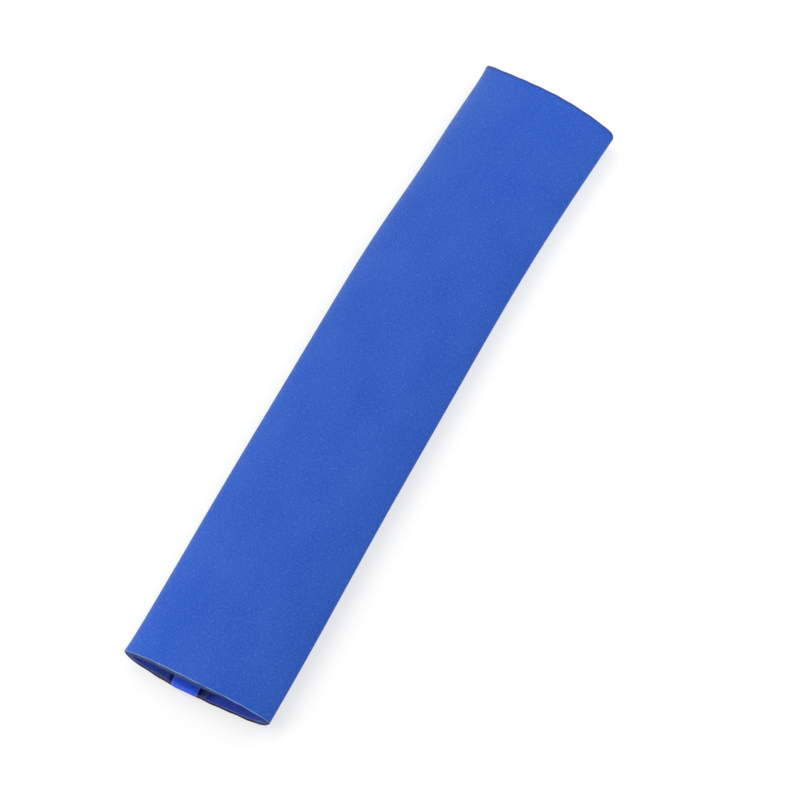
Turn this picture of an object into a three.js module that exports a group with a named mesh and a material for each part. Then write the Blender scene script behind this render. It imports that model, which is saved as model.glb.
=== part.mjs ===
// Fork protector: a neoprene sleeve that is pulled over a leg of a bicycle's suspension fork.
//
// One sheet of fabric-faced foam is rolled into a tube and closed by a seam along it. The sheet's
// two edges are turned inwards at the seam and lie open to its left and right, and a woven tape is
// sewn over them. Empty, the sleeve lies on the side with the seam and is creased along both sides.
//
// Millimetres. +X runs across the sleeve, +Y along it and +Z up. Every piece is made straight, with
// the origin on the ground under the middle of the sleeve, and then bent into the slight sideways
// bow in which the sleeve lies. The whole is centred on the origin again at the end.
import * as THREE from 'three';

// The sheet, as it lies
const SLEEVE_LENGTH = 310; // between the two cut edges
const SLEEVE_WIDTH = 65.5; // between the noses of the two side folds
const WALL = 2.5;
const FOLD_HEIGHT = 8.5; // of the side folds' noses above the ground
const FOLD_RISE_WIDTH = 14.75; // the stretch over which the lower wall rises to each nose
const ARCH_EXPONENT = 0.62; // of the upper wall's arch: 0.5 is a half ellipse and 1 a parabola

// The sideways bow
const BOW = 3.1; // how far the sleeve's middle lies to the left of its two mouths
const BOW_LEAN = 0.8; // 0 for an even bow, and 1 for one with none of its turn at the near mouth

// The clear height between the tape and the upper wall
const NEAR_CLEARANCE = 6.8;
const MIDDLE_CLEARANCE = 6.3;
const FAR_CLEARANCE = 8.8;

// The seam
const SEAM_X = -6.9;
const ALLOWANCE_WIDTH = 11.4; // of each turned-in edge of the sheet
const ALLOWANCE_GAP = 0.3; // between a turned-in edge and the wall that it lies on
const TURN_SHARE = 0.8; // of the wall's thickness: the radius at which the sheet turns into the seam
const TURN_ANGLE = 72; // degrees that each edge has turned where it meets the other

// The tape
const TAPE_WIDTH = 11.6;
const TAPE_THICKNESS = 0.6;
const TAPE_OFFSET = 2.2; // from the seam to the tape's middle
const TAPE_END_HEIGHT = 3.4; // of the tape's hanging ends above the ground

// The two rows of stitches that hold the tape
const THREAD_DIAMETER = 0.45;
const THREAD_INSET = 1.4; // from the tape's edge
const THREAD_WAVE = 0.25; // how far each stitch rises between its two needle holes
const STITCH_LENGTH = 4;
const ROW_MARGIN = 3; // from a cut edge to the row's first stitch

const SEAT_GAP = 0.3; // between pieces that lie on each other

// How finely the curves are divided
const ARCH_SEGMENTS = 32;
const FOLD_SEGMENTS = 10;
const TURN_SEGMENTS = 4;
const LENGTH_SEGMENTS = 8;
const THREAD_SIDES = 6;

const MOUTH_Y = SLEEVE_LENGTH / 2;
const NOSE_X = SLEEVE_WIDTH / 2;
const STRIP_X = NOSE_X - FOLD_RISE_WIDTH;
const TURN_RADIUS = TURN_SHARE * WALL;
const GROOVE_HALF = TURN_RADIUS * Math.sin(THREE.MathUtils.degToRad(TURN_ANGLE));
const ALLOWANCE_TOP = WALL + ALLOWANCE_GAP + WALL;
const TAPE_X = SEAM_X + TAPE_OFFSET;
const TAPE_TOP = ALLOWANCE_TOP + SEAT_GAP + TAPE_THICKNESS;

const NEOPRENE = new THREE.MeshStandardMaterial({ color: 0x3a65c8, roughness: 0.85, metalness: 0 });
const TAPE = new THREE.MeshStandardMaterial({ color: 0x3149c2, roughness: 0.5, metalness: 0 });
const THREAD = new THREE.MeshStandardMaterial({ color: 0x2f55c0, roughness: 0.6, metalness: 0 });

// The share of the upper wall's full rise that it has at x: 0 at the noses and 1 in the middle.
const archShare = (x) => Math.max(1 - (x / NOSE_X) ** 2, 0) ** ARCH_EXPONENT;

// The height of the upper wall's crown at a place along the sleeve: a parabola through its
// heights at the near mouth, the middle and the far mouth.
function crownHeight(y) {
  const along = y / MOUTH_Y;
  const tilt = (FAR_CLEARANCE - NEAR_CLEARANCE) / 2;
  const flare = (FAR_CLEARANCE + NEAR_CLEARANCE) / 2 - MIDDLE_CLEARANCE;
  return TAPE_TOP + MIDDLE_CLEARANCE + tilt * along + flare * along ** 2 + WALL;
}

// The outer face of the upper wall half way along the sleeve.
const upperOuter = (x) => FOLD_HEIGHT + (crownHeight(0) - FOLD_HEIGHT) * archShare(x);

// The outer face of the lower wall: flat on the ground, then a quarter ellipse up to the nose.
function lowerOuter(x) {
  const past = Math.max(Math.abs(x) - STRIP_X, 0) / (NOSE_X - STRIP_X);
  return FOLD_HEIGHT * (1 - Math.sqrt(Math.max(1 - past ** 2, 0)));
}

// The wall's thickness measured upwards, for a wall whose thickness square to its face is WALL.
function uprightWall(face, x) {
  const step = 0.01;
  const slope = (face(x + step) - face(x - step)) / (2 * step);
  return WALL * Math.hypot(1, slope);
}

const upperInner = (x) => upperOuter(x) - uprightWall(upperOuter, x);
const lowerInner = (x) => lowerOuter(x) + uprightWall(lowerOuter, x);

// Where the inner faces of the two walls meet in the fold, found by halving.
function creaseX() {
  let open = 0;
  let shut = NOSE_X - WALL / 2;
  for (let i = 0; i < 40; i++) {
    const x = (open + shut) / 2;
    if (upperInner(x) > lowerInner(x)) open = x;
    else shut = x;
  }
  return open;
}

const CREASE_X = creaseX();

// count + 1 values from start to end. Eased values crowd towards both ends.
function spaced(start, end, count, eased = false) {
  return Array.from({ length: count + 1 }, (_, i) => {
    const share = eased ? (1 - Math.cos((Math.PI * i) / count)) / 2 : i / count;
    return start + (end - start) * share;
  });
}

const profile = (xs, height) => xs.map((x) => new THREE.Vector2(x, height(x)));

// The rounded groove at the seam, from left to right, that the two turned-in edges leave between
// them in a face at the height base. It is cut upwards with sign 1 and downwards with sign -1.
function seamGroove(base, sign) {
  const depth = (x) => {
    const reach = Math.max(GROOVE_HALF - Math.abs(x - SEAM_X), 0);
    return TURN_RADIUS - Math.sqrt(TURN_RADIUS ** 2 - reach ** 2);
  };
  const xs = spaced(SEAM_X - GROOVE_HALF, SEAM_X + GROOVE_HALF, 2 * TURN_SEGMENTS);
  return profile(xs, (x) => base + sign * depth(x));
}

// The sheet's outer face all round, counter-clockwise.
function outerOutline() {
  return [
    ...profile(spaced(NOSE_X, -NOSE_X, ARCH_SEGMENTS, true), upperOuter),
    ...profile(spaced(-NOSE_X, -STRIP_X, FOLD_SEGMENTS).slice(1), lowerOuter),
    ...seamGroove(0, 1),
    ...profile(spaced(STRIP_X, NOSE_X, FOLD_SEGMENTS).slice(0, -1), lowerOuter),
  ];
}

// The sheet's inner face all round, counter-clockwise, with the two turned-in edges on it. Each
// lies ALLOWANCE_GAP above the wall as far as the turn at the seam.
function innerOutline() {
  const turnLeft = SEAM_X - WALL / 2;
  const turnRight = SEAM_X + WALL / 2;
  const endLeft = SEAM_X - ALLOWANCE_WIDTH;
  const endRight = SEAM_X + ALLOWANCE_WIDTH;
  const under = (x) => lowerInner(x) + ALLOWANCE_GAP;
  const over = (x) => lowerInner(x) + ALLOWANCE_GAP + WALL;
  return [
    ...profile(spaced(CREASE_X, -CREASE_X, ARCH_SEGMENTS, true), upperInner),
    ...profile(spaced(-CREASE_X, endLeft, FOLD_SEGMENTS).slice(1), lowerInner),
    ...profile([turnLeft], lowerInner),
    ...profile([turnLeft, endLeft], under),
    ...profile([endLeft], over),
    ...seamGroove(ALLOWANCE_TOP, -1),
    ...profile([endRight], over),
    ...profile([endRight, turnRight], under),
    ...profile([turnRight], lowerInner),
    ...profile(spaced(endRight, CREASE_X, FOLD_SEGMENTS).slice(0, -1), lowerInner),
  ];
}

// The sheet: its section carried along the sleeve, with the upper wall lifted or let down to the
// crown's height there, fully in the middle and less towards the noses.
function sleeveGeometry() {
  const section = new THREE.Shape(outerOutline());
  section.holes.push(new THREE.Path(innerOutline()));
  const geometry = new THREE.ExtrudeGeometry(section, {
    depth: SLEEVE_LENGTH,
    steps: LENGTH_SEGMENTS,
    bevelEnabled: false,
  });
  geometry.rotateX(Math.PI / 2);
  geometry.translate(0, MOUTH_Y, 0);
  const place = geometry.attributes.position;
  const tolerance = 0.001;
  for (let i = 0; i < place.count; i++) {
    const x = place.getX(i);
    const z = place.getZ(i);
    const upperWallStart = Math.abs(x) < CREASE_X ? upperInner(x) : FOLD_HEIGHT;
    if (z < upperWallStart - tolerance) continue;
    place.setZ(i, z + (crownHeight(place.getY(i)) - crownHeight(0)) * archShare(x));
  }
  return geometry;
}

// A quarter circle in Y and Z round a corner of a cut edge, from one angle to the other in degrees.
function cornerArc(cornerY, radius, from, to) {
  return spaced(from, to, TURN_SEGMENTS).map((degrees) => {
    const angle = THREE.MathUtils.degToRad(degrees);
    const y = cornerY + radius * Math.cos(angle);
    return new THREE.Vector2(y, ALLOWANCE_TOP + radius * Math.sin(angle));
  });
}

// One face of the tape as seen from its side, at a distance from the sheet: down the cut edge at
// the far mouth, round its corner, along the turned-in edges, and down at the near mouth.
function tapeFace(distance) {
  const run = spaced(MOUTH_Y, -MOUTH_Y, LENGTH_SEGMENTS).slice(1, -1);
  return [
    new THREE.Vector2(MOUTH_Y + distance, TAPE_END_HEIGHT),
    ...cornerArc(MOUTH_Y, distance, 0, 90),
    ...run.map((y) => new THREE.Vector2(y, ALLOWANCE_TOP + distance)),
    ...cornerArc(-MOUTH_Y, distance, 90, 180),
    new THREE.Vector2(-MOUTH_Y - distance, TAPE_END_HEIGHT),
  ];
}

// The tape: four-cornered sections along its two faces, joined, and closed at both cut ends.
function tapeGeometry() {
  const upper = tapeFace(SEAT_GAP + TAPE_THICKNESS);
  const lower = tapeFace(SEAT_GAP);
  const left = TAPE_X - TAPE_WIDTH / 2;
  const right = TAPE_X + TAPE_WIDTH / 2;
  const corners = upper.flatMap((outer, i) => {
    const inner = lower[i];
    return [
      [left, outer.x, outer.y],
      [right, outer.x, outer.y],
      [right, inner.x, inner.y],
      [left, inner.x, inner.y],
    ];
  });
  const sides = 4;
  const last = corners.length - sides;
  const faces = [[0, 1, 2], [0, 2, 3], [last, last + 2, last + 1], [last, last + 3, last + 2]];
  for (let ring = 0; ring < last; ring += sides) {
    for (let side = 0; side < sides; side++) {
      const here = ring + side;
      const next = ring + ((side + 1) % sides);
      faces.push([here, here + sides, next], [next, here + sides, next + sides]);
    }
  }
  const geometry = new THREE.BufferGeometry();
  geometry.setAttribute('position', new THREE.Float32BufferAttribute(corners.flat(), 3));
  geometry.setIndex(faces.flat());
  return geometry.toNonIndexed();
}

// One row of stitches: a thread that rises a little between each pair of needle holes.
function threadGeometry(rowX) {
  const radius = THREAD_DIAMETER / 2;
  const run = SLEEVE_LENGTH - 2 * ROW_MARGIN;
  const halfStitches = 2 * Math.round(run / STITCH_LENGTH);
  const points = spaced(-run / 2, run / 2, halfStitches).map((y, i) => {
    const rise = i % 2 ? THREAD_WAVE : 0;
    return new THREE.Vector3(rowX, y, TAPE_TOP + SEAT_GAP + radius + rise);
  });
  const round = spaced(0, 2 * Math.PI, THREAD_SIDES)
    .slice(1)
    .map((angle) => new THREE.Vector2(radius * Math.cos(angle), radius * Math.sin(angle)));
  return new THREE.ExtrudeGeometry(new THREE.Shape(round), {
    steps: halfStitches,
    extrudePath: new THREE.CatmullRomCurve3(points),
  });
}

// Bends a straight piece sideways into the bow. Its middle line moves left by a parabola of the
// place along the sleeve, times a line that moves the most of it towards the far mouth, and each
// section turns to stay square to that line.
function bend(geometry) {
  const place = geometry.attributes.position;
  for (let i = 0; i < place.count; i++) {
    const along = place.getY(i) / MOUTH_Y;
    const shift = -BOW * (1 - along ** 2) * (1 + BOW_LEAN * along);
    const slope = (-BOW * (BOW_LEAN - 2 * along - 3 * BOW_LEAN * along ** 2)) / MOUTH_Y;
    place.setXY(i, place.getX(i) + shift, place.getY(i) - place.getX(i) * slope);
  }
  geometry.computeVertexNormals();
  return geometry;
}

function piece(name, geometry, material) {
  const mesh = new THREE.Mesh(bend(geometry), material);
  mesh.name = name;
  return mesh;
}

const forkProtector = new THREE.Group();
forkProtector.add(piece('neoprene_sleeve', sleeveGeometry(), NEOPRENE));
forkProtector.add(piece('seam_tape', tapeGeometry(), TAPE));
for (const [side, sign] of [['left', -1], ['right', 1]]) {
  const rowX = TAPE_X + sign * (TAPE_WIDTH / 2 - THREAD_INSET);
  forkProtector.add(piece(`tape_stitches_${side}`, threadGeometry(rowX), THREAD));
}

const centre = new THREE.Box3().setFromObject(forkProtector).getCenter(new THREE.Vector3());
forkProtector.position.set(-centre.x, -centre.y, 0);

export default forkProtector;
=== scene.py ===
"""The looks of a fork protector: a neoprene sleeve that lies empty on its seam.

Lengths are in metres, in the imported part's frame: X across the sleeve, Y along it and Z up from
the ground that it lies on. Every piece repeats the part's own sizes and is finer than its solid.
"""

import math

import bpy
import numpy as np
from bpy.props import FloatProperty, FloatVectorProperty, PointerProperty
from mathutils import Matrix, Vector


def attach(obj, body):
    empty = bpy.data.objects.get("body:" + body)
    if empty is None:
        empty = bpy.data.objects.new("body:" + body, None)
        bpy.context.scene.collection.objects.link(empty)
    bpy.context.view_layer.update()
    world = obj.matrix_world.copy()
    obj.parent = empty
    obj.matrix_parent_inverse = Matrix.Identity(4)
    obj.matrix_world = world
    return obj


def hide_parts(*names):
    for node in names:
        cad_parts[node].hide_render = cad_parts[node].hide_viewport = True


bl_info = {
    "name": "Fork Protector",
    "version": (1, 0, 0),
    "blender": (4, 5, 0),
    "location": "View3D > Sidebar > Fork Protector",
    "description": "Builds a neoprene fork protector with its seam tape and stitches",
    "category": "Object",
}

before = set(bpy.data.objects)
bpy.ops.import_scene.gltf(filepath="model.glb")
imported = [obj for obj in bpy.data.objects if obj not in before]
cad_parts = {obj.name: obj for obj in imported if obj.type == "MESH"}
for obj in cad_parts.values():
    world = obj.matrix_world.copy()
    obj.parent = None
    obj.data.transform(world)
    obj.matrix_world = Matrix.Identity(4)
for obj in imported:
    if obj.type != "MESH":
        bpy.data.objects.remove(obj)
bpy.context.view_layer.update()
MM = 0.001

# Where the straight sleeve's middle comes to lie in the part's frame, before it is bowed
ORIGIN_X = 1.744 * MM
ORIGIN_Y = -0.687 * MM

# The camera: degrees, metres and pixels
VIEW_AZIMUTH = 28.08
VIEW_ELEVATION = 62.61
VIEW_DISTANCE = 1.2
VIEW_AIM = (0.01056, -0.00158, 0.0)
FOCAL_PIXELS = 2873
PICTURE_PIXELS = 800
SENSOR_WIDTH = 36.0

# How far the grain of a knit lightens or darkens the red, green and blue of its colour
GRAIN = (0.65, 0.34, 0.1)

# How finely the sheet is divided: each turned-in edge, the turn at the seam, the ground left and
# right of the seam, each rise to a fold, the arch, and its length between the mouths' last rings
EDGE_STEPS = 30
TURN_STEPS = 24
LEFT_GROUND_STEPS = 18
RIGHT_GROUND_STEPS = 34
RISE_STEPS = 26
ARCH_STEPS = 120
LENGTH_STEPS = 94

# How finely the tape is divided across and along, and each hanging end and its bend
TAPE_ACROSS_STEPS = 26
TAPE_ALONG_STEPS = 639
TAPE_END_STEPS = 9

# The power of the place along the sleeve by which the forms of a mouth's edge fade out inwards
MOUTH_POWER = 40

# The sleeve's materials, by their number on its mesh
JERSEY, LINING, TURNED_LEFT, TURNED_RIGHT, FOAM, UPPER_CUT, LOWER_CUT = range(7)


def linear(red, green, blue):
    """A colour as it is written on a screen, 0 to 255, as the linear values that shaders take."""
    share = np.array((red, green, blue)) / 255
    low = share / 12.92
    high = ((share + 0.055) / 1.055) ** 2.4
    return tuple(float(value) for value in np.where(share <= 0.04045, low, high))


def length(name, description, default):
    """A size that a user may change, in metres."""
    return FloatProperty(
        name=name, description=description, default=default, precision=5, unit="LENGTH"
    )


def factor(name, description, default):
    """A plain number that a user may change."""
    return FloatProperty(name=name, description=description, default=default)


def colour(name, description, default):
    """A colour that a user may change."""
    return FloatVectorProperty(
        name=name, description=description, default=default, size=3, min=0, max=1, subtype="COLOR"
    )


class SleeveSizes(bpy.types.PropertyGroup):
    """The sizes of the sheet and of the tube that it is closed to."""

    sleeve_length: length("Length", "Between the two mouths", 310 * MM)
    sleeve_width: length("Width", "Between the two side folds", 65.5 * MM)
    bow: length("Bow", "How far the middle lies to the left of the mouths", 3.1 * MM)
    bow_lean: factor("Bow lean", "How much more of the bow lies at the far mouth", 0.8)
    wall: length("Wall", "Foam and both fabrics together", 2.5 * MM)
    fabric: length("Fabric", "Each fabric's own thickness", 0.35 * MM)
    fold_height: length("Fold height", "Of the side folds above the ground", 8.5 * MM)
    fold_rise: length("Fold rise", "Width over which the lower wall rises to a fold", 14.75 * MM)
    arch_exponent: factor("Arch exponent", "0.5 is a half ellipse and 1 a parabola", 0.62)
    crown_near: length("Near crown", "Height of the upper wall at the near mouth", 15.5 * MM)
    crown_middle: length("Middle crown", "Height of the upper wall half way", 15.0 * MM)
    crown_far: length("Far crown", "Height of the upper wall at the far mouth", 17.5 * MM)
    seam_x: length("Seam", "Place of the seam across the sleeve", -6.9 * MM)
    allowance: length("Allowance", "Width of each turned-in edge", 11.4 * MM)
    allowance_gap: length("Allowance gap", "Between a turned-in edge and the wall", 0.3 * MM)
    turn_radius: length("Turn radius", "Of the sheet where it turns into the seam", 2.0 * MM)
    unevenness: length("Unevenness", "How far the cloth departs from its even shape", 0.25 * MM)
    lip: length("Lip", "How far the near mouth's lower wall stands out by the seam", 1.1 * MM)
    upper_lip: length("Upper lip", "How far its upper wall stands out over it", 0.55 * MM)
    far_reach: length("Far reach", "How far the far mouth stands out", 0.15 * MM)
    far_corner: length("Far corner", "How much further its left corner stands out", 2.4 * MM)
    corner_rounding: length("Corner rounding", "How far each far corner is rounded off", 0.9 * MM)
    flare: length("Flare", "How far the near mouth's left corner stands out sideways", 0.4 * MM)
    far_flare: length("Far flare", "How far the far mouth's left corner does", 0.9 * MM)
    right_bulge: length("Right bulge", "How far the right fold stands out", 0.15 * MM)
    right_tuck: length("Right tuck", "How far it draws in at the far mouth", 0.4 * MM)
    left_tuck: length("Left tuck", "How far the left fold draws in at the far half", 1.05 * MM)
    left_tuck_place: factor("Left tuck place", "0 is half way and 1 the far mouth", 0.62)
    fold_swell: factor("Fold swell", "How much thicker the squeezed foam is in a fold", 0.5)


class TapeSizes(bpy.types.PropertyGroup):
    """The sizes of the tape over the seam, and of the threads."""

    width: length("Width", "Of the tape", 11.6 * MM)
    thickness: length("Thickness", "Of the tape", 0.6 * MM)
    seat: length("Seat", "Between the tape and the sheet", 0.3 * MM)
    middle_x: length("Middle", "Place of the tape's middle", -4.7 * MM)
    end_height: length("End height", "Of the hanging ends above the ground", 3.4 * MM)
    end_slant: length("End slant", "How much higher each end is cut at its right edge", 1.2 * MM)
    rib: length("Rib", "From one rib of the weave to the next", 0.9 * MM)
    thread: length("Thread", "Diameter of the sewing thread", 0.45 * MM)
    inset: length("Inset", "From the tape's edge to a row of stitches", 1.4 * MM)
    stitch: length("Stitch", "Length of one stitch", 4 * MM)
    margin: length("Margin", "From a mouth to the first stitch", 3 * MM)


class ClothColours(bpy.types.PropertyGroup):
    """The colours of the cloths, the foam and the threads."""

    jersey: colour("Jersey", "The fabric on the outside", linear(46, 95, 199))
    fleck: colour("Fleck", "Small light spots on every knit", linear(110, 150, 228))
    lining: colour("Lining", "The fabric on the inside", linear(60, 90, 205))
    # The turned-in edges show the outer jersey: these colours are darker copies of it, painted
    # shade inside the mouth, the right one darker still
    left_edge_shade: colour("Left edge", "The turned-in edge left of the seam", linear(42, 72, 160))
    right_edge_shade: colour("Right edge", "The turned-in edge right of the seam", linear(32, 54, 120))
    foam: colour("Foam", "The foam between the fabrics", linear(72, 90, 150))
    fused: colour("Fused edge", "The outer fabric's cut edge", linear(116, 148, 214))
    frayed: colour("Frayed edge", "The outer fabric's far edge", linear(52, 66, 140))
    cut_lining: colour("Cut lining", "The lining's cut edge", linear(124, 126, 214))
    tape: colour("Tape", "The woven tape", linear(56, 100, 248))
    selvedge: colour("Selvedge", "The tape's firm edges", linear(128, 128, 228))
    thread: colour("Thread", "The sewing thread", linear(44, 84, 205))


def sizes():
    return bpy.context.scene.sleeve_sizes


def tape_sizes():
    return bpy.context.scene.sleeve_tape


def colours():
    return bpy.context.scene.sleeve_colours


# Meshes


def grid_faces(numbers, flip=False):
    """The four corners of each face of a grid of vertex numbers."""
    corners = [numbers[:-1, :-1], numbers[1:, :-1], numbers[1:, 1:], numbers[:-1, 1:]]
    faces = np.stack(corners, axis=-1).reshape(-1, 4)
    return faces[:, ::-1] if flip else faces


def slab_mesh(name, points, flat, faces, cuts, sides):
    """A closed mesh round a slab that is given as points[across, layer, along, xyz].

    flat[across, layer, along, uv] is the same slab spread out flat. The rest are numbers of
    materials: faces[0, column] and faces[1, column] of its two large faces, which are the first
    and the last layer, cuts[strip, column] of the strips between two layers at both ends, and
    sides[strip] of those strips along its two long edges.
    """
    across, layers, along = points.shape[:3]
    kept = np.ones((across, layers, along), bool)
    kept[1:-1, 1:-1, 1:-1] = False
    numbers = np.full(kept.shape, -1)
    numbers[kept] = np.arange(kept.sum())
    patches = [
        (np.s_[:, 0, :], True, np.repeat(faces[0], along - 1)),
        (np.s_[:, -1, :], False, np.repeat(faces[1], along - 1)),
    ]
    for strip in range(layers - 1):
        both = slice(strip, strip + 2)
        side = np.full(along - 1, sides[strip])
        patches += [
            (np.s_[:, both, 0], False, cuts[strip]),
            (np.s_[:, both, -1], True, cuts[strip]),
            (np.s_[0, both, :], False, side),
            (np.s_[-1, both, :], True, side),
        ]
    polygons, corners, materials = [], [], []
    for window, flip, material in patches:
        places = np.arange(numbers[window].size).reshape(numbers[window].shape)
        polygons.append(grid_faces(numbers[window], flip))
        corners.append(flat[window].reshape(-1, 2)[grid_faces(places, flip)])
        materials.append(material)
    mesh = bpy.data.meshes.new(name)
    mesh.from_pydata(points[kept].tolist(), [], np.concatenate(polygons).tolist())
    mesh.polygons.foreach_set("material_index", np.concatenate(materials).astype(np.int32))
    layer = mesh.uv_layers.new(name="cloth")
    layer.uv.foreach_set("vector", np.concatenate(corners).astype(np.float32).ravel())
    return mesh


def tube_mesh(name, paths, radius, sides):
    """Closed round threads, one along each of paths[thread, step, xyz], none of it upright.

    A thread's ring at each step is radius times (cos a, sin a) on the two directions square to the
    path: the level one, and the one across that.
    """
    threads, steps = paths.shape[:2]
    forward = np.gradient(paths, axis=1)
    forward /= np.linalg.norm(forward, axis=2, keepdims=True)
    level = np.cross(forward, (0, 0, 1))
    level /= np.linalg.norm(level, axis=2, keepdims=True)
    across = np.cross(level, forward)
    turn = np.linspace(0, 2 * math.pi, sides, endpoint=False)[:, None]
    ring = level[:, :, None] * np.cos(turn) + across[:, :, None] * np.sin(turn)
    points = paths[:, :, None] + radius * ring
    numbers = np.arange(threads * steps * sides).reshape(threads, steps, sides)
    wrapped = np.concatenate([numbers, numbers[:, :, :1]], axis=2)
    faces = [face for thread in wrapped for face in grid_faces(thread, flip=True).tolist()]
    faces += numbers[:, 0, ::-1].tolist() + numbers[:, -1].tolist()
    mesh = bpy.data.meshes.new(name)
    mesh.from_pydata(points.reshape(-1, 3).tolist(), [], faces)
    return mesh


def add_piece(mesh, materials, sharp_degrees=60):
    """An object for the mesh, smooth apart from its sharp edges."""
    for material in materials:
        mesh.materials.append(material)
    mesh.shade_smooth()
    mesh.set_sharp_from_angle(angle=math.radians(sharp_degrees))
    made = bpy.data.objects.new(mesh.name, mesh)
    bpy.context.scene.collection.objects.link(made)
    return made


# The shape of the sheet


def arch_share(x, nose):
    """The share of the upper wall's rise at x: (1 - (x / nose)^2) to the arch's exponent."""
    return np.maximum(1 - (x / nose) ** 2, 0) ** sizes().arch_exponent


def crown_height(y):
    """The upper wall's height at its middle: a parabola along Y through its three heights."""
    s = sizes()
    along = y / (s.sleeve_length / 2)
    tilt = (s.crown_far - s.crown_near) / 2
    flare = (s.crown_far + s.crown_near) / 2 - s.crown_middle
    return s.crown_middle + tilt * along + flare * along**2


def upper_face(x):
    """The outer face of the upper wall half way along: the fold's height and the arch on it."""
    s = sizes()
    rise = s.crown_middle - s.fold_height
    return s.fold_height + rise * arch_share(x, s.sleeve_width / 2)


def lower_face(x):
    """The outer face of the lower wall: flat, then a quarter ellipse up to the fold."""
    s = sizes()
    past = np.clip(np.abs(x) - (s.sleeve_width / 2 - s.fold_rise), 0, None) / s.fold_rise
    return s.fold_height * (1 - np.sqrt(np.maximum(1 - past**2, 0)))


def upright_wall(face, x):
    """The wall measured upwards: its thickness times the square root of 1 + slope squared.

    The thickness swells by a power of the place towards the folds, where the foam is squeezed.
    """
    s = sizes()
    step = 0.01 * MM
    slope = (face(x + step) - face(x - step)) / (2 * step)
    swell = 1 + s.fold_swell * (2 * x / s.sleeve_width) ** 8
    return s.wall * swell * np.hypot(1, slope)


def crease_place():
    """Where the inner faces of the two walls meet in a fold."""
    x = np.linspace(0, sizes().sleeve_width / 2 - 0.5 * sizes().wall, 4000)
    upper = upper_face(x) - upright_wall(upper_face, x)
    lower = lower_face(x) + upright_wall(lower_face, x)
    return float(x[np.argmax(upper <= lower)])


def mouth_edges(x, lower):
    """How far the near and the far mouth's edge stand out at x. lower is 0 on the upper wall.

    At the near mouth the lower wall stands out by a flat-topped bell round the seam, and the upper
    wall by a bell beside the middle. At the far mouth the left corner stands out by a power of x.
    The corners of both are rounded off by a high power, and the near mouth's less.
    """
    s = sizes()
    nose = s.sleeve_width / 2
    lower_middle, lower_width = 0.35 * s.seam_x, 0.52 * nose
    upper_middle, upper_width = 2 * MM, 0.5 * nose
    by_seam = np.exp(-(((x - lower_middle) / lower_width) ** 4))
    by_middle = np.exp(-(((x - upper_middle) / upper_width) ** 2))
    lower_lip = s.lip * lower * (0.2 * (1 - (x / nose) ** 8) + 0.8 * by_seam)
    upper_lip = s.upper_lip * (1 - lower) * by_middle
    rounding = s.corner_rounding * np.abs(x / nose) ** 50
    corner = np.abs(x / nose) ** 6 * np.where(x < 0, 1.0, 0.05)
    return lower_lip + upper_lip - 0.4 * rounding, s.far_reach + s.far_corner * corner - rounding


def at_rest(points, lower=1.0):
    """Points of the straight sleeve as it lies, in the part's frame. lower is 0 on the upper wall.

    With a = y / (half the length), the edges of both mouths move in Y, and the folds in X by
    (x / half the width)^4 times a line of their own. Then the sleeve bows: x moves by
    d = -bow (1 - a^2) (1 + lean a) and y by -x times the slope of d, so that each section stays
    square to the bow.
    """
    s = sizes()
    mouth = s.sleeve_length / 2
    nose = s.sleeve_width / 2
    x, y, z = np.moveaxis(points, -1, 0)
    a = y / mouth
    near = np.clip(-a, 0, 1) ** MOUTH_POWER
    far = np.clip(a, 0, 1) ** MOUTH_POWER
    near_edge, far_edge = mouth_edges(x, lower)
    y = y - near_edge * near + far_edge * far

    right = s.right_bulge * (1 - ((1 + a) / 2) ** 6) - s.right_tuck * np.clip(a, 0, 1) ** 6
    left = s.flare * near + s.far_flare * far
    left = left - s.left_tuck * np.exp(-(((a - s.left_tuck_place) / 0.2) ** 2))
    x = x + np.where(x > 0, right, left) * np.sign(x) * (x / nose) ** 4

    shift = -s.bow * (1 - a**2) * (1 + s.bow_lean * a)
    slope = -s.bow * (s.bow_lean - 2 * a - 3 * s.bow_lean * a**2) / mouth
    return np.stack([x + shift + ORIGIN_X, y - x * slope + ORIGIN_Y, z], axis=-1)


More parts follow.
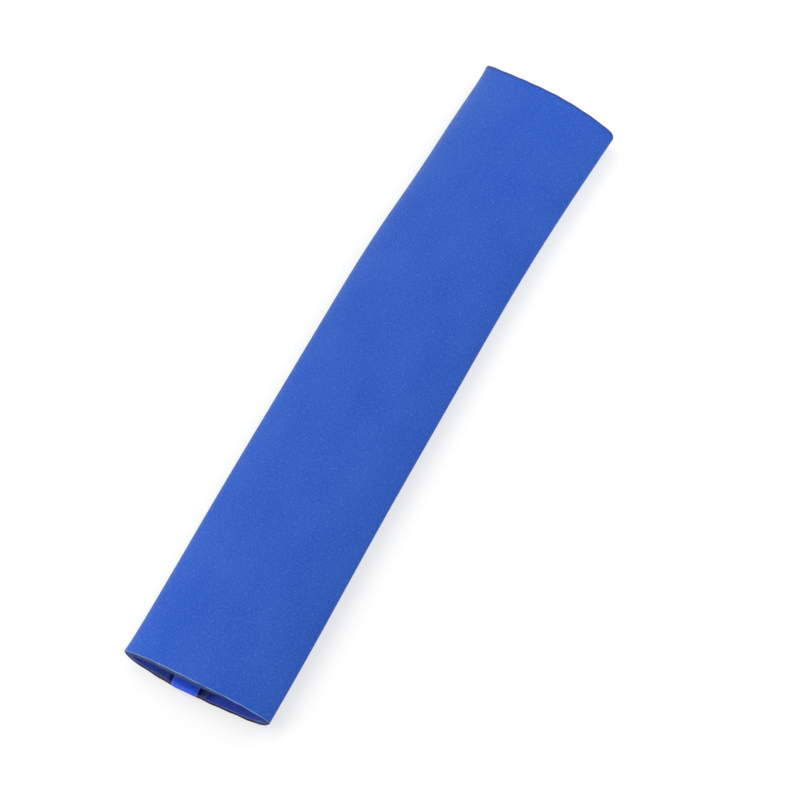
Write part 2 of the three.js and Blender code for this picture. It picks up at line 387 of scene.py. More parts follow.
def section():
    """The sheet's section as outer[i] and inner[i], points (x, z), lift[face][i] and wall[i].

    From the left cut edge to the right one the outer face is a line over the left turned-in edge, a
    squared half circle down into the seam, the ground, a quarter ellipse up the left fold, the
    arch, and the same again down the right fold. The inner face is the same a wall's thickness
    further in. lift is the share of the crown's change that a point takes along the sleeve. wall
    is 0 on the turned-in edges, 1 on the lower wall and 2 on the upper one.
    """
    s = sizes()
    nose = s.sleeve_width / 2
    strip = nose - s.fold_rise
    crease = crease_place()
    top = 2 * s.wall + s.allowance_gap
    middle = top / 2
    pinch = s.allowance_gap / 2
    seam_gap = 0.03 * MM
    squareness = 2 / 2.7

    def turned_edge(side):
        """The turned-in edge on one side of the seam, from its cut edge to the ground."""
        cut = s.seam_x + side * s.allowance
        turn = s.seam_x + side * (s.turn_radius + seam_gap)
        inner_turn = s.seam_x + side * (s.wall / 2 + pinch)
        share = np.linspace(0, 1, EDGE_STEPS, endpoint=False)
        angle = np.linspace(math.pi / 2, -math.pi / 2, TURN_STEPS, endpoint=False)
        reach = np.abs(np.cos(angle)) ** squareness
        height = np.sign(np.sin(angle)) * np.abs(np.sin(angle)) ** squareness
        outer = [
            (cut + (turn - cut) * share, np.full(share.shape, top)),
            (turn - side * s.turn_radius * reach, middle * (1 + height)),
        ]
        inner = [
            (cut + (inner_turn - cut) * share, np.full(share.shape, s.wall + s.allowance_gap)),
            (inner_turn - side * pinch * np.cos(angle), middle + pinch * np.sin(angle)),
        ]
        return outer, inner, turn, inner_turn

    def fold_rise(side):
        """The lower wall from the flat strip's edge to the fold."""
        angle = np.linspace(0, math.pi / 2, RISE_STEPS, endpoint=False)
        x = side * (strip + s.fold_rise * np.sin(angle))
        inner_x = side * (strip + (crease - strip) * np.sin(angle))
        inner_z = lower_face(inner_x) + upright_wall(lower_face, inner_x)
        return (x, s.fold_height * (1 - np.cos(angle))), (inner_x, inner_z)

    def ground(side, turn, inner_turn, count):
        """The lower wall's flat part, from the turn at the seam to the flat strip's edge."""
        share = np.linspace(0, 1, count, endpoint=False)
        outer = (turn + (side * strip - turn) * share, np.zeros(count))
        inner = (inner_turn + (side * strip - inner_turn) * share, np.full(count, s.wall))
        return outer, inner

    halves = {}
    for side, count in ((-1, LEFT_GROUND_STEPS), (1, RIGHT_GROUND_STEPS)):
        outer, inner, turn, inner_turn = turned_edge(side)
        for more in (ground(side, turn, inner_turn, count), fold_rise(side)):
            outer.append(more[0])
            inner.append(more[1])
        halves[side] = [np.concatenate(face, axis=1).T for face in (outer, inner)]

    angle = np.linspace(0, math.pi, ARCH_STEPS + 1)
    x, inner_x = -nose * np.cos(angle), -crease * np.cos(angle)
    arch = [
        np.stack([x, upper_face(x)], axis=1),
        np.stack([inner_x, upper_face(inner_x) - upright_wall(upper_face, inner_x)], axis=1),
    ]
    outer, inner = (
        np.concatenate([halves[-1][face], arch[face], halves[1][face][::-1]]) for face in (0, 1)
    )
    before, after = len(halves[-1][0]), len(halves[1][0])
    lift = [
        np.concatenate([np.zeros(before), arch_share(across, nose), np.zeros(after)])
        for across in (x, inner_x)
    ]
    turned = EDGE_STEPS + TURN_STEPS
    wall = np.repeat([0, 1, 2, 1, 0], [turned, before - turned, len(x), after - turned, turned])
    return outer, inner, lift, wall


def measured(path):
    """How far along a path each of its points lies."""
    steps = np.linalg.norm(np.diff(path, axis=0), axis=1)
    return np.concatenate([[0], np.cumsum(steps)])


def unevenness(x, y, z, lift, nose, mouth):
    """How the cloth departs from its even shape in x, y and z: soft waves of a few sines.

    They run in the line of the folds, in the cut at the mouths and in the upper wall.
    """
    fold = (np.abs(x) / nose) ** 4 * np.sign(x)
    fold = fold * (0.7 * np.sin(y / 23 / MM + 1.3 * np.sign(x)) - 0.3)
    wave = 0.6 * np.sin(y / 15.1 / MM + 0.7 + x / 21 / MM)
    wave = wave + 0.4 * np.sin(y / 8.3 / MM + 2.1 - x / 13 / MM)
    cut = (np.abs(y) / mouth) ** MOUTH_POWER
    moved_x = x + sizes().unevenness * fold
    moved_z = z + sizes().unevenness * wave * lift
    ragged = 0.3 * np.sin(moved_x / 5.2 / MM + 0.4)
    ragged = ragged + 0.25 * np.sin(moved_x / 1.3 / MM + moved_z / 3.1 / MM)
    return moved_x, y + sizes().unevenness * ragged * cut, moved_z


def sheet_points():
    """The sheet as points[across, layer, along, xyz], the same spread flat, and wall[across].

    Each point is outer + share (inner - outer) of the section, carried along Y. The layers are the
    outer fabric's two faces, the foam and the lining's two faces. The foam has drawn back a little
    at the mouths.
    """
    s, t = sizes(), tape_sizes()
    outer, inner, lifts, wall = section()
    fabric = s.fabric / s.wall
    share = np.array([0, fabric, fabric + 0.01, 0.5, 1 - fabric - 0.01, 1 - fabric, 1])[:, None]
    near_back = np.array([0, 0, 0.18, 0.25, 0.18, 0.05, 0.05]) * MM
    far_back = np.array([0, 0, 0.15, 0.2, 0.15, 0.05, 0.05]) * MM
    mouth = s.sleeve_length / 2
    nose = s.sleeve_width / 2
    last = 1 - np.array([0, 0.25, 0.5, 0.8, 1.6]) * MM / mouth
    along = np.concatenate([-last, np.linspace(-0.97, 0.97, LENGTH_STEPS + 1), last[::-1]])
    at_mouth = np.abs(along) == 1

    def through(at_outer, at_inner):
        """Values on every layer, from those on the outer and the inner face."""
        return at_outer[:, None, None] * (1 - share) + at_inner[:, None, None] * share

    x = through(outer[:, 0], inner[:, 0])
    z = through(outer[:, 1], inner[:, 1])
    lift = through(*lifts)
    # The upper wall's near cut slants: its lining stands out at the left, and not at the right
    level_x, furthest = 11 * MM, -0.5 * MM
    slant = np.maximum(0.07 * (x - level_x), furthest) * share * lift
    back = np.where(along < 0, slant + near_back[:, None], -far_back[:, None])
    x, y, z = np.broadcast_arrays(x, along * mouth + back * at_mouth, z)
    z = z + (crown_height(y) - crown_height(0)) * lift
    x, y, z = unevenness(x, y, z, lift, nose, mouth)
    # The outer fabric is drawn down to the foam at its cut edges
    rim_width, rim_depth = 0.8 * MM, 0.12 * MM
    rim = np.clip(1 - (mouth - np.abs(along) * mouth) / rim_width, 0, 1) ** 2
    z = z - rim_depth * rim * (wall == 2)[:, None, None] * (1 - share) ** 4
    # The turned-in edges are pressed down beside the tape
    dent_width, dent_depth = 0.8 * MM, 1.6 * MM
    beside = np.abs(x - t.middle_x) - t.width / 2 - 0.5 * MM
    dent = np.exp(-((beside / dent_width) ** 2)) * (wall == 0)[:, None, None] * (1 - share)
    z = z - dent_depth * dent * (z > 1.2 * s.wall)

    u = through(measured(outer), measured(inner))
    v = y + share * s.wall * at_mouth
    flat = np.stack(np.broadcast_arrays(u, v), axis=-1)
    lower = (wall < 2)[:, None, None].astype(float)
    return at_rest(np.stack([x, y, z], axis=-1), lower), flat, wall


# The shape of the tape


def tape_line():
    """The middle line of the tape as points (y, z): up the near cut edge, along, and down the far.

    It is three lines joined by quarter circles round the corners of the cut edges. The hanging
    ends lean out by the square of their depth.
    """
    s, t = sizes(), tape_sizes()
    top = 2 * s.wall + s.allowance_gap
    radius = t.seat + t.thickness / 2
    mouth = s.sleeve_length / 2
    drop = np.linspace(1, 0, TAPE_END_STEPS, endpoint=False)
    lean = 0.35 * MM * drop**2
    hanging = np.stack([mouth + radius + lean, top - (top - t.end_height) * drop], axis=1)
    angle = np.linspace(0, math.pi / 2, TAPE_END_STEPS, endpoint=False)
    bend = np.stack([mouth + radius * np.cos(angle), top + radius * np.sin(angle)], axis=1)
    end = np.concatenate([hanging, bend])
    y = np.linspace(mouth, -mouth, TAPE_ALONG_STEPS + 1)
    middle = np.stack([y, np.full(y.shape, top + radius)], axis=1)
    near_end = end[::-1] * (-1, 1)
    return np.concatenate([end, middle, near_end])[::-1]


def tape_points():
    """The tape as points[across, layer, along, xyz] and the same spread flat.

    Its thickness is full across its width and falls off as a superellipse at its edges. Each row
    of stitches draws it down by a bell curve, deepest at the needle holes.
    """
    s, t = sizes(), tape_sizes()
    line = tape_line()
    step = np.gradient(line, axis=0)
    step /= np.linalg.norm(step, axis=1, keepdims=True)
    up = np.stack([-step[:, 1], step[:, 0]], axis=1)
    run = measured(line)
    share = -np.cos(np.linspace(0, math.pi, TAPE_ACROSS_STEPS + 1))
    across = share * t.width / 2
    thick = t.thickness / 2 * np.maximum(1 - np.abs(share) ** 6, 0.12) ** 0.5

    level = np.array([1.0, -1.0])
    row = np.abs(np.abs(across) - (t.width / 2 - t.inset))
    y, z = line[:, 0], line[:, 1]
    phase = (y - (t.margin - s.sleeve_length / 2)) / t.stitch
    hole = np.cos(math.pi * phase) ** 8
    sewn = np.clip((s.sleeve_length / 2 - t.margin - np.abs(y)) / (0.5 * t.stitch), 0, 1)
    dent_width, dent_depth = 0.55 * MM, 0.16 * MM
    dent = np.exp(-((row / dent_width) ** 2))[:, None] * (0.4 + 0.6 * hole) * sewn
    ripple = 0.05 * MM * np.sin(2 * math.pi * phase) * share[:, None] ** 2
    rise = (-dent_depth * dent + ripple)[:, None, :] + thick[:, None, None] * level[None, :, None]
    edge = 0.09 * MM * np.sin(y / 4.7 / MM) + 0.06 * MM * np.sin(y / 1.9 / MM + 1)
    x = t.middle_x + across[:, None] + share[:, None] ** 3 * edge
    # The ends are cut at a slant: each column hangs by its own share of the even depth
    top = 2 * s.wall + s.allowance_gap
    depth = 1 - 0.5 * t.end_slant * share / (top - t.end_height)
    height = z + rise * up[:, 1]
    hung = np.minimum(height - top, 0)
    height = height + hung * (depth[:, None, None] - 1)
    points = np.stack(np.broadcast_arrays(x[:, None], y + rise * up[:, 0], height), axis=-1)
    flat = np.broadcast_arrays(across[:, None, None], run, rise)[:2]
    return at_rest(points), np.stack(flat, axis=-1)


# Materials


def set_inputs(tree, node, inputs):
    """Each input is a socket's name or number with its value or the output that it is joined to."""
    for key, value in inputs:
        if isinstance(value, bpy.types.NodeSocket):
            tree.links.new(value, node.inputs[key])
        else:
            node.inputs[key].default_value = value


def add_node(tree, kind, inputs=(), **settings):
    """One node with its settings, and with inputs as set_inputs takes them."""
    made = tree.nodes.new(kind)
    for name, value in settings.items():
        setattr(made, name, value)
    set_inputs(tree, made, inputs)
    return made


def parts_of(tree, vector):
    """The three values of a vector."""
    return add_node(tree, "ShaderNodeSeparateXYZ", [(0, vector)]).outputs


def calc(tree, operation, *values):
    """The output of a Math node."""
    made = add_node(tree, "ShaderNodeMath", list(enumerate(values)), operation=operation)
    return made.outputs[0]


def wave(tree, place, height):
    """A cosine over the place, with a crest at each whole number, from 1 down to 1 - 2 height."""
    turns = calc(tree, "COSINE", calc(tree, "MULTIPLY", place, 2 * math.pi))
    return calc(tree, "MULTIPLY_ADD", turns, height, 1 - height)


def between(tree, value, low, high):
    """A smooth step from 0 at low to 1 at high."""
    made = add_node(
        tree,
        "ShaderNodeMapRange",
        [("Value", value), ("From Min", low), ("From Max", high)],
        interpolation_type="SMOOTHSTEP",
    )
    return made.outputs["Result"]


def blend_colours(tree, share, first, second):
    """The first colour at share 0 and the second at 1. Each is a socket or three values."""
    inputs = [(0, share)]
    for socket, value in ((6, first), (7, second)):
        joined = isinstance(value, bpy.types.NodeSocket)
        inputs.append((socket, value if joined else (*value, 1)))
    return add_node(tree, "ShaderNodeMix", inputs, data_type="RGBA").outputs[2]


def scaled(tree, vector, x, y, z=1.0):
    """The vector with its parts multiplied."""
    inputs = [(0, vector), (1, (x, y, z))]
    return add_node(tree, "ShaderNodeVectorMath", inputs, operation="MULTIPLY").outputs[0]


def noise(tree, vector, detail=2.0, roughness=0.5):
    """Smooth noise around 0.5 in the first two values of the vector."""
    inputs = [("Vector", vector), ("Scale", 1.0), ("Detail", detail), ("Roughness", roughness)]
    return add_node(tree, "ShaderNodeTexNoise", inputs, noise_dimensions="2D").outputs[0]


def new_group(name, inputs, outputs):
    """A shader node group. inputs pairs a name with its default, a number, or None for a vector."""
    tree = bpy.data.node_groups.new(name, "ShaderNodeTree")
    for label, default in inputs:
        kind = "NodeSocketVector" if default is None else "NodeSocketFloat"
        socket = tree.interface.new_socket(name=label, in_out="INPUT", socket_type=kind)
        if default is not None:
            socket.default_value = default
    for label in outputs:
        tree.interface.new_socket(name=label, in_out="OUTPUT", socket_type="NodeSocketFloat")
    start = tree.nodes.new("NodeGroupInput")
    end = tree.nodes.new("NodeGroupOutput")
    return tree, start.outputs, end.inputs


def knit_group():
    """The knit of the fabrics on the foam, on a flat map in metres.

    Height is the product of two ridges: legs that run along the cloth, two to a stitch, and slanted
    yarns that lean one way on one leg and the other way on the next. Both stray a little. Tone is
    fine mottle drawn out along the cloth, with broad clouds, around 0.5. Specks is 1 on a few small
    spots. The noise is scaled by its cells for each metre across and along.
    """
    tree, given, wanted = new_group(
        "fabric knit",
        [("Map", None), ("Stitch Width", 0.62 * MM), ("Stitch Height", 0.5 * MM)],
        ["Height", "Tone", "Specks"],
    )
    across, along = parts_of(tree, given["Map"])[:2]
    stray = noise(tree, scaled(tree, given["Map"], 400, 300), 1.0)
    stray = calc(tree, "MULTIPLY", calc(tree, "SUBTRACT", stray, 0.5), 0.5)
    column = calc(tree, "ADD", calc(tree, "DIVIDE", across, given["Stitch Width"]), stray)
    row = calc(tree, "ADD", calc(tree, "DIVIDE", along, given["Stitch Height"]), stray)
    leg = calc(tree, "ABSOLUTE", calc(tree, "SUBTRACT", calc(tree, "FRACT", column), 0.5))
    yarn = wave(tree, calc(tree, "MULTIPLY_ADD", leg, -1.6, row), 0.3)
    side = calc(tree, "SINE", calc(tree, "MULTIPLY", leg, 2 * math.pi))
    tree.links.new(calc(tree, "MULTIPLY", side, yarn), wanted["Height"])

    fine = noise(tree, scaled(tree, given["Map"], 1600, 1200), 2.0, 0.6)
    broad = noise(tree, scaled(tree, given["Map"], 60, 34))
    tone = calc(tree, "MULTIPLY_ADD", fine, 0.8, calc(tree, "MULTIPLY", broad, 0.2))
    tree.links.new(tone, wanted["Tone"])
    cells = scaled(tree, given["Map"], 260, 200)
    spots = add_node(
        tree, "ShaderNodeTexVoronoi", [("Vector", cells), ("Scale", 1.0)], voronoi_dimensions="2D"
    )
    tree.links.new(between(tree, spots.outputs["Distance"], 0.14, 0.06), wanted["Specks"])
    return tree


def cells_group():
    """Foam that is cut through: Height falls at each small open cell, and Tone varies by cell."""
    tree, given, wanted = new_group("foam cells", [("Cell", 0.25 * MM)], ["Height", "Tone"])
    scale = calc(tree, "DIVIDE", 1.0, given["Cell"])
    inputs = [("Vector", object_place(tree)), ("Scale", scale)]
    cells = add_node(tree, "ShaderNodeTexVoronoi", inputs)
    tree.links.new(between(tree, cells.outputs["Distance"], 0.15, 0.6), wanted["Height"])
    tree.links.new(parts_of(tree, cells.outputs["Color"])[0], wanted["Tone"])
    return tree


def weave_group():
    """The tape's herringbone twill, on a flat map in metres whose first value is 0 at its middle.

    Height is slanted ribs, (1 + cos) / 2 of the place along plus the distance from the nearest
    turn of the slant, over the rib's width, times finer threads that run along the tape. Edge is 1
    on the firm edges, and Tone is fine mottle around 0.5.
    """
    tree, given, wanted = new_group(
        "tape weave",
        [("Map", None), ("Rib", 0.9 * MM), ("Width", 11.6 * MM)],
        ["Height", "Edge", "Tone"],
    )
    across, along = parts_of(tree, given["Map"])[:2]
    panel = calc(tree, "DIVIDE", given["Width"], 4.0)
    folded = calc(tree, "PINGPONG", across, panel)
    slanted = calc(tree, "DIVIDE", calc(tree, "ADD", along, folded), given["Rib"])
    half_rib = calc(tree, "MULTIPLY", given["Rib"], 0.5)
    threads = wave(tree, calc(tree, "DIVIDE", across, half_rib), 0.2)
    height = calc(tree, "MULTIPLY", wave(tree, slanted, 0.5), threads)
    tree.links.new(height, wanted["Height"])
    out = calc(tree, "DIVIDE", calc(tree, "ABSOLUTE", across), given["Width"])
    tree.links.new(between(tree, out, 0.46, 0.49), wanted["Edge"])
    tree.links.new(noise(tree, scaled(tree, given["Map"], 900, 1400)), wanted["Tone"])
    return tree


def new_material(name):
    """A material with its Principled shader's own node tree."""
    made = bpy.data.materials.new(name)
    made.use_nodes = True
    return made, made.node_tree, made.node_tree.nodes["Principled BSDF"]


def group_in(tree, name, inputs=()):
    """The outputs of a node group, placed in a material with its own values."""
    group = bpy.data.node_groups[name]
    return add_node(tree, "ShaderNodeGroup", inputs, node_tree=group).outputs


def cloth_map(tree):
    """The place on the cloth as it was cut, in metres across and along."""
    return add_node(tree, "ShaderNodeUVMap", uv_map="cloth").outputs["UV"]


def object_place(tree):
    """The place on the object, in metres."""
    return add_node(tree, "ShaderNodeTexCoord").outputs["Object"]


def set_bump(tree, shader, height, depth, strength=1.0):
    """A bump of that depth in metres on the shader's normal."""
    inputs = [("Height", height), ("Strength", strength), ("Distance", depth)]
    bump = add_node(tree, "ShaderNodeBump", inputs)
    tree.links.new(bump.outputs["Normal"], shader.inputs["Normal"])


def shaded(value, share):
    """A colour with its parts multiplied."""
    return tuple(part * share for part in value)


def seen_directly(tree):
    """1 for what the camera sees, also through glass or in a mirror, and 0 for all other light."""
    path = add_node(tree, "ShaderNodeLightPath")
    seen = calc(tree, "MAXIMUM", path.outputs["Is Camera Ray"], path.outputs["Is Glossy Ray"])
    return calc(tree, "MAXIMUM", seen, path.outputs["Is Transmission Ray"])


def fabric_material(name, base, sheen, edge=None, edge_width=0.0):
    """Nylon knit: its colour is mottled, darker between the stitches and in a few specks.

    An edge colour runs along the near mouth, where the cut has fused the fabric, on a line that
    wanders a little. At the far mouth the last of the fabric is darker.
    """
    made, tree, shader = new_material(name)
    cloth = cloth_map(tree)
    knit = group_in(tree, "fabric knit", [("Map", cloth)])
    tone = between(tree, knit["Tone"], 0.3, 0.7)
    light = tuple(part * (1 + grain) for part, grain in zip(base, GRAIN))
    dark = tuple(part * (1 - grain) for part, grain in zip(base, GRAIN))
    mottled = blend_colours(tree, tone, dark, light)
    ridge = between(tree, knit["Height"], 0.0, 0.7)
    stitched = blend_colours(tree, ridge, shaded(base, 0.82), mottled)
    specks = calc(tree, "MULTIPLY", knit["Specks"], 0.12)
    result = blend_colours(tree, specks, stitched, colours().fleck)
    if edge:
        place = parts_of(tree, cloth)[1]
        mouth = sizes().sleeve_length / 2
        wander = calc(tree, "MULTIPLY", noise(tree, scaled(tree, cloth, 260, 0)), 0.4 * MM)
        place = calc(tree, "ADD", place, wander)
        edge_end = -mouth + edge_width
        fused = between(tree, place, edge_end + 0.3 * MM, edge_end)
        result = blend_colours(tree, calc(tree, "MULTIPLY", fused, 0.9), result, edge)
        frayed = between(tree, place, mouth - 1.0 * MM, mouth - 0.35 * MM)
        frayed = calc(tree, "MULTIPLY", frayed, 0.95)
        result = blend_colours(tree, frayed, result, colours().frayed)
    inputs = [
        ("Base Color", result),
        ("Roughness", calc(tree, "MULTIPLY_ADD", knit["Height"], -0.15, 0.85)),
        ("Specular IOR Level", 0.2),
        ("Sheen Weight", sheen),
        ("Sheen Roughness", 0.35),
        ("Sheen Tint", (0.6, 0.8, 1, 1)),
    ]
    set_inputs(tree, shader, inputs)
    set_bump(tree, shader, knit["Height"], 0.09 * MM, 0.8)
    return made


def foam_material():
    """Closed-cell foam: small cells, each a little lighter or darker, with painted shade that turns
    it near black towards the ground, in the lower wall.
    """
    made, tree, shader = new_material("cut foam")
    cells = group_in(tree, "foam cells")
    base = colours().foam
    mixed = blend_colours(tree, cells["Tone"], shaded(base, 0.7), shaded(base, 1.3))
    pitted = blend_colours(tree, cells["Height"], mixed, shaded(base, 0.55))
    # Painted shade: the foam turns near black from 4 mm down to 1.5 mm above the ground
    low = between(tree, parts_of(tree, object_place(tree))[2], 4 * MM, 1.5 * MM)
    painted_ground_shade = blend_colours(tree, low, pitted, shaded(base, 0.07))
    set_inputs(tree, shader, [("Base Color", painted_ground_shade), ("Roughness", 0.9)])
    set_bump(tree, shader, calc(tree, "SUBTRACT", 1.0, cells["Height"]), 0.1 * MM)
    return made


def cut_fabric_material(name, base):
    """The cut edge of a fabric: short yarn ends, each a little lighter or darker."""
    made, tree, shader = new_material(name)
    ends = noise(tree, scaled(tree, object_place(tree), 3200, 3200, 900), 1.0)
    tone = between(tree, ends, 0.35, 0.65)
    mixed = blend_colours(tree, tone, shaded(base, 0.6), shaded(base, 1.15))
    set_inputs(tree, shader, [("Base Color", mixed), ("Roughness", 0.8)])
    return made


def tape_material():
    """Woven polyester tape: glossy slanted ribs, firmer and lighter at its edges."""
    made, tree, shader = new_material("woven tape")
    t = tape_sizes()
    inputs = [("Map", cloth_map(tree)), ("Rib", t.rib), ("Width", t.width)]
    weave = group_in(tree, "tape weave", inputs)
    base = colours().tape
    tone = between(tree, weave["Tone"], 0.3, 0.7)
    mottled = blend_colours(tree, tone, shaded(base, 0.85), shaded(base, 1.15))
    ridge = between(tree, weave["Height"], 0.05, 0.6)
    ribbed = blend_colours(tree, ridge, shaded(base, 0.68), mottled)
    edge = calc(tree, "MULTIPLY", weave["Edge"], 0.7)
    edged = blend_colours(tree, edge, ribbed, colours().selvedge)
    rough = calc(tree, "MULTIPLY_ADD", weave["Height"], -0.2, 0.55)
    inputs = [("Base Color", edged), ("Roughness", rough), ("Specular IOR Level", 0.12)]
    set_inputs(tree, shader, inputs)
    set_bump(tree, shader, weave["Height"], 0.07 * MM)
    return made


def thread_material():
    """Twisted polyester thread: slanted bands round it from its place along Y."""
    made, tree, shader = new_material("sewing thread")
    across, along = parts_of(tree, object_place(tree))[:2]
    lean = calc(tree, "ADD", along, calc(tree, "MULTIPLY", across, 0.8))
    turns = calc(tree, "COSINE", calc(tree, "DIVIDE", lean, 0.07 * MM))
    ply = calc(tree, "MULTIPLY_ADD", turns, 0.5, 0.5)
    base = colours().thread
    banded = blend_colours(tree, ply, shaded(base, 0.6), shaded(base, 1.1))
    set_inputs(tree, shader, [("Base Color", banded), ("Roughness", 0.5)])
    set_bump(tree, shader, ply, 0.04 * MM)
    return made


# The stage


def direction(azimuth, elevation):
    """The direction from the object to an eye or a lamp. Azimuth 0 is at -Y and 90 at +X."""
    a, e = math.radians(azimuth), math.radians(elevation)
    return Vector((math.sin(a) * math.cos(e), -math.cos(a) * math.cos(e), math.sin(e)))


def add_light(lamp, place, azimuth, elevation):
    """The lamp at its place, shining from that direction towards the object."""
    light = bpy.data.objects.new(lamp.name, lamp)
    light.location = place
    light.rotation_euler = direction(azimuth, elevation).to_track_quat("Z", "Y").to_euler()
    bpy.context.scene.collection.objects.link(light)


def add_camera():
    """The camera as the photograph was taken."""
    lens = bpy.data.cameras.new("camera")
    lens.sensor_width = SENSOR_WIDTH
    lens.lens = FOCAL_PIXELS / PICTURE_PIXELS * SENSOR_WIDTH
    lens.clip_start, lens.clip_end = 0.05, 20
    camera = bpy.data.objects.new("camera", lens)
    back = direction(VIEW_AZIMUTH, VIEW_ELEVATION)
    camera.location = back * VIEW_DISTANCE + Vector(VIEW_AIM)
    camera.rotation_mode = "QUATERNION"
    camera.rotation_quaternion = back.to_track_quat("Z", "Y")
    bpy.context.scene.collection.objects.link(camera)
    bpy.context.scene.camera = camera


def floor_material():
    """A pale floor that the camera sees as white, and that keeps the soft shadow.

    What the camera sees is a share of the lit floor and a glow, which together pass white where
    nothing shades them. Everything else meets a plain pale floor.
    """
    made, tree, shader = new_material("studio floor")
    tree.nodes.remove(shader)
    plain = add_node(tree, "ShaderNodeBsdfDiffuse", [("Color", (0.85, 0.85, 0.85, 1))])
    soft = add_node(tree, "ShaderNodeBsdfDiffuse", [("Color", (0.42, 0.418, 0.405, 1))])
    glow = add_node(tree, "ShaderNodeEmission", [("Color", (1, 1, 1, 1)), ("Strength", 0.602)])
    both = add_node(tree, "ShaderNodeAddShader", [(0, soft.outputs[0]), (1, glow.outputs[0])])
    inputs = [(0, seen_directly(tree)), (1, plain.outputs[0]), (2, both.outputs[0])]
    mix = add_node(tree, "ShaderNodeMixShader", inputs)
    tree.links.new(mix.outputs[0], tree.nodes["Material Output"].inputs["Surface"])
    return made


def studio_world():
    """Pale light from all round, stronger from overhead, which the camera sees as white."""
    world = bpy.data.worlds.new("studio")
    world.use_nodes = True
    tree = world.node_tree
    place = add_node(tree, "ShaderNodeTexCoord").outputs["Generated"]
    height = parts_of(tree, place)[2]
    inputs = [("Value", height), ("From Min", 0.0), ("To Min", 0.55), ("To Max", 0.68)]
    sky = add_node(tree, "ShaderNodeMapRange", inputs)
    strength = calc(tree, "MAXIMUM", sky.outputs["Result"], seen_directly(tree))
    inputs = [("Strength", strength), ("Color", (0.98, 0.98, 1, 1))]
    set_inputs(tree, tree.nodes["Background"], inputs)
    return world


# The operators


class MakeSleeve(bpy.types.Operator):
    """Build the neoprene sleeve"""

    bl_idname = "fork_protector.make_sleeve"
    bl_label = "Make the sleeve"

    def execute(self, context):
        knit_group()
        cells_group()
        c = colours()
        materials = [
            fabric_material("outer jersey", c.jersey, 1.0, c.fused, edge_width=0.35 * MM),
            fabric_material("lining jersey", c.lining, 0.05, c.cut_lining, edge_width=0.4 * MM),
            # The turned-in edges are the outer jersey with painted shade: darker copies of its
            # colour, the right one darker
            fabric_material("left turned-in jersey", c.left_edge_shade, 0.05),
            fabric_material("right turned-in jersey", c.right_edge_shade, 0.05),
            foam_material(),
            cut_fabric_material("fused fabric edge", shaded(c.fused, 0.42)),
            cut_fabric_material("cut lining edge", c.cut_lining),
        ]
        points, flat, wall = sheet_points()
        column = wall[:-1]
        faces = np.repeat([[JERSEY], [LINING]], len(column), axis=1)
        faces[0, : EDGE_STEPS + TURN_STEPS // 2] = TURNED_LEFT
        faces[0, -EDGE_STEPS - TURN_STEPS // 2 :] = TURNED_RIGHT
        cuts = np.full((6, len(column)), FOAM)
        cuts[0] = np.where(column == 2, UPPER_CUT, FOAM)
        cuts[-1] = np.where(column == 1, LOWER_CUT, FOAM)
        sides = [LOWER_CUT, FOAM, FOAM, FOAM, FOAM, LOWER_CUT]
        mesh = slab_mesh("sleeve", points, flat, faces, cuts, sides)
        made = add_piece(mesh, materials, sharp_degrees=42)
        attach(made, "root")
        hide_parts("neoprene_sleeve")
        return {"FINISHED"}


class MakeTape(bpy.types.Operator):
    """Build the woven tape over the seam"""

    bl_idname = "fork_protector.make_tape"
    bl_label = "Make the tape"

    def execute(self, context):
        weave_group()
        points, flat = tape_points()
        columns = np.zeros((2, len(points) - 1), int)
        mesh = slab_mesh("woven_tape", points, flat, columns, columns[:1], [0])
        made = add_piece(mesh, [tape_material()])
        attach(made, "root")
        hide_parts("seam_tape")
        return {"FINISHED"}


class MakeStitches(bpy.types.Operator):
    """Sew the two rows of stitches that hold the tape"""

    bl_idname = "fork_protector.make_stitches"
    bl_label = "Make the stitches"

    def execute(self, context):
        s, t = sizes(), tape_sizes()
        run = s.sleeve_length - 2 * t.margin
        stitches = round(run / t.stitch)
        # Each stitch is an arc that dips below the tape's face at its two needle holes
        dip = 0.3 * MM
        y = np.linspace(-run / 2, run / 2, 12 * stitches + 1)
        arc = np.abs(np.sin(math.pi * (y + run / 2) / t.stitch)) ** 0.45
        face = 2 * s.wall + s.allowance_gap + t.seat + t.thickness
        z = face - dip + (dip + t.thread * 0.4) * arc
        wander = 0.05 * MM * np.sin(y / 3.7 / MM)
        material = thread_material()
        for name, side in (("left", -1), ("right", 1)):
            x = t.middle_x + side * (t.width / 2 - t.inset) + wander
            path = at_rest(np.stack([x, y, z], axis=1))
            mesh = tube_mesh(f"stitch_row_{name}", path[None], t.thread / 2, sides=8)
            made = add_piece(mesh, [material])
            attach(made, "root")
            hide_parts(f"tape_stitches_{name}")
        return {"FINISHED"}


class MakeSeamThread(bpy.types.Operator):
    """Sew the seam: short threads that cross the groove on the sleeve's underside"""

    bl_idname = "fork_protector.make_seam_thread"
    bl_label = "Make the seam thread"

    def execute(self, context):
        s, t = sizes(), tape_sizes()
        run = s.sleeve_length - 2 * t.margin
        spacing, depth = 2.5 * MM, 1.0 * MM
        places = np.linspace(-run / 2, run / 2, round(run / spacing) + 1)
        # Each thread crosses the groove at a slant and sags a little
        reach, slant, sag = 0.62 * MM, 0.2 * MM, 0.25 * MM
        share = np.linspace(-1, 1, 7)
        x = s.seam_x + reach * share
        y = places[:, None] + slant * share
        z = depth + sag * share**2
        paths = np.stack(np.broadcast_arrays(x[None], y, z[None]), axis=-1)
        mesh = tube_mesh("seam_thread", at_rest(paths), 0.16 * MM, sides=6)
        made = add_piece(mesh, [bpy.data.materials["sewing thread"]])
        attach(made, "root")
        return {"FINISHED"}


class DeclareCloth(bpy.types.Operator):
    """Work out the outer face of the sheet's section, which is not used further"""

    bl_idname = "fork_protector.declare_cloth"
    bl_label = "Declare the cloth"

    def execute(self, context):
        outer = section()[0]
        return {"FINISHED"}


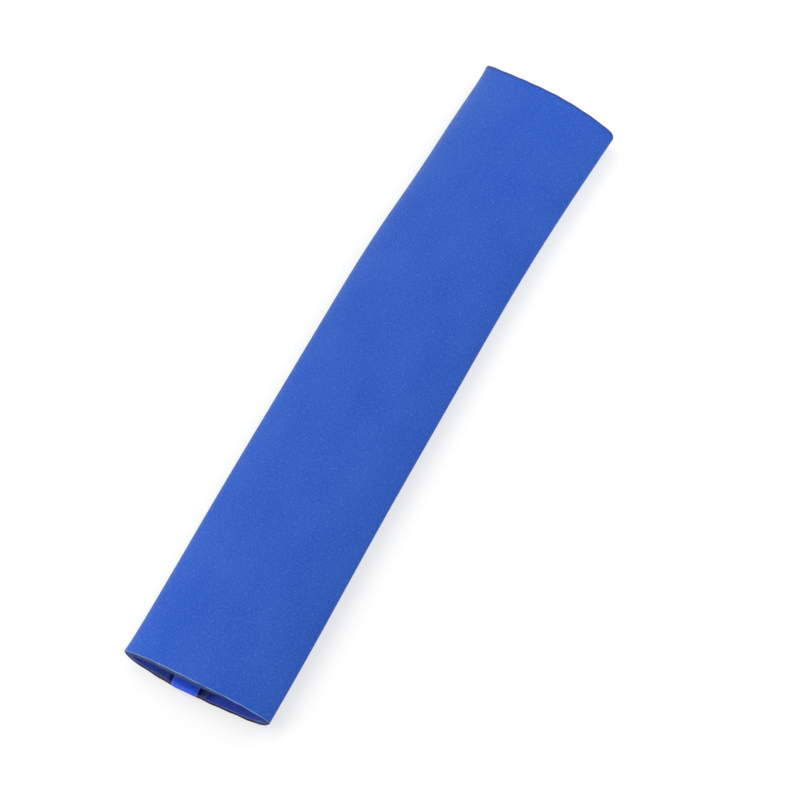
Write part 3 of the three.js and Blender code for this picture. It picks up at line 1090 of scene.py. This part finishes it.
class MakeStage(bpy.types.Operator):
    """Set the floor, the light and the camera"""

    bl_idname = "fork_protector.make_stage"
    bl_label = "Make the stage"

    def execute(self, context):
        # The floor lies a hair below the sleeve
        half, low = 4.0, -0.05 * MM
        corners = [(-half, -half, low), (half, -half, low), (half, half, low), (-half, half, low)]
        mesh = bpy.data.meshes.new("studio_floor")
        mesh.from_pydata(corners, [], [(0, 1, 2, 3)])
        mesh.materials.append(floor_material())
        floor = bpy.data.objects.new("studio_floor", mesh)
        context.scene.collection.objects.link(floor)

        context.scene.world = studio_world()

        # A broad lamp from the left and behind
        window = bpy.data.lights.new("window light", "SUN")
        window.energy = 0.91
        window.color = (0.97, 1, 0.95)
        window.angle = math.radians(40)
        add_light(window, (0, 0, 0), -112, 58)

        # Two small panels by the near mouth's left corner, and one over the far half
        for name, energy, place, azimuth, elevation in (
            ("low panel", 0.16, (-0.32, -0.32, 0.08), -45, 10),
            ("near panel", 0.28, (-0.24, -0.3, 0.2), -55, 30),
            ("far panel", 0.43, (0.16, 0.32, 0.3), 137, 45),
        ):
            panel = bpy.data.lights.new(name, "AREA")
            panel.size = 0.2
            panel.energy = energy
            add_light(panel, place, azimuth, elevation)

        add_camera()
        context.scene.view_settings.view_transform = "Standard"
        return {"FINISHED"}


class SleevePanel(bpy.types.Panel):
    """The fork protector's pieces in the order in which they are made"""

    bl_idname = "VIEW3D_PT_fork_protector"
    bl_label = "Fork Protector"
    bl_space_type = "VIEW_3D"
    bl_region_type = "UI"
    bl_category = "Fork Protector"

    def draw(self, context):
        for maker in MAKERS:
            self.layout.operator(maker.bl_idname)
        for group in (sizes(), tape_sizes(), colours()):
            box = self.layout.box()
            for name in group.__annotations__:
                box.prop(group, name)


GROUPS = (SleeveSizes, TapeSizes, ClothColours)
MAKERS = (MakeSleeve, MakeTape, MakeStitches, MakeSeamThread, MakeStage, DeclareCloth)


def register():
    for item in (*GROUPS, *MAKERS, SleevePanel):
        bpy.utils.register_class(item)
    bpy.types.Scene.sleeve_sizes = PointerProperty(type=SleeveSizes)
    bpy.types.Scene.sleeve_tape = PointerProperty(type=TapeSizes)
    bpy.types.Scene.sleeve_colours = PointerProperty(type=ClothColours)


def unregister():
    for name in ("sleeve_sizes", "sleeve_tape", "sleeve_colours"):
        delattr(bpy.types.Scene, name)
    for item in reversed((*GROUPS, *MAKERS, SleevePanel)):
        bpy.utils.unregister_class(item)


def main():
    register()
    bpy.ops.fork_protector.make_sleeve()
    bpy.ops.fork_protector.make_tape()
    bpy.ops.fork_protector.make_stitches()
    bpy.ops.fork_protector.make_seam_thread()
    bpy.ops.fork_protector.make_stage()
    bpy.ops.fork_protector.declare_cloth()


if __name__ == "__main__":
    main()
